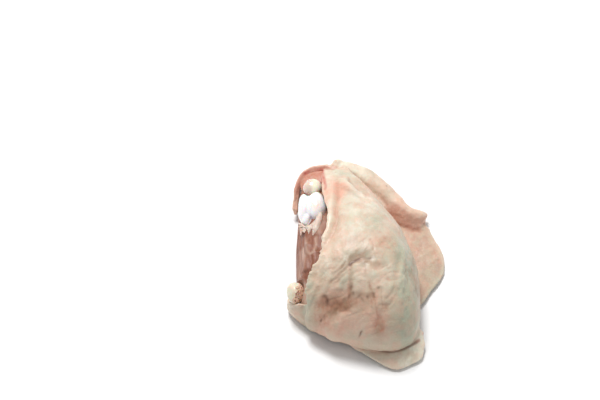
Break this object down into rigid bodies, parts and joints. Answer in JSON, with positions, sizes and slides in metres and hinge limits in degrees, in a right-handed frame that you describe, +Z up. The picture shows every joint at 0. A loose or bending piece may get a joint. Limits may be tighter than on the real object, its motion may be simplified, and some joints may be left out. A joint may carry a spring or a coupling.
{
  "type": "raw chicken thigh",
  "caption": "Raw bone-in chicken thigh lying skin side up, with the knee joint, a strip of bare flesh and spare folds of skin showing; set dressing for a kitchen, counter or tray.",
  "frame": {"origin": "centre of the footprint, on the surface that the piece lies on", "axes": "+Z up; +Y along the bone, towards the knee end; +X to the side where the spare skin lies"},
  "size_m": [0.09, 0.1295, 0.046],
  "materials": {
    "skin": "moist raw poultry skin, cream to pink",
    "meat": "moist raw flesh, brownish pink",
    "bone": "wet glossy white joint cartilage over bone",
    "kneecap": "translucent yellowish cartilage, wet",
    "cartilage": "yellowish white cartilage, wet"
  },
  "bodies": {
    "root": {"skin": "skin", "meat": "meat", "femur": "bone", "kneecap": "kneecap", "hip_cartilage": "cartilage"}
  },
  "joints": []
}
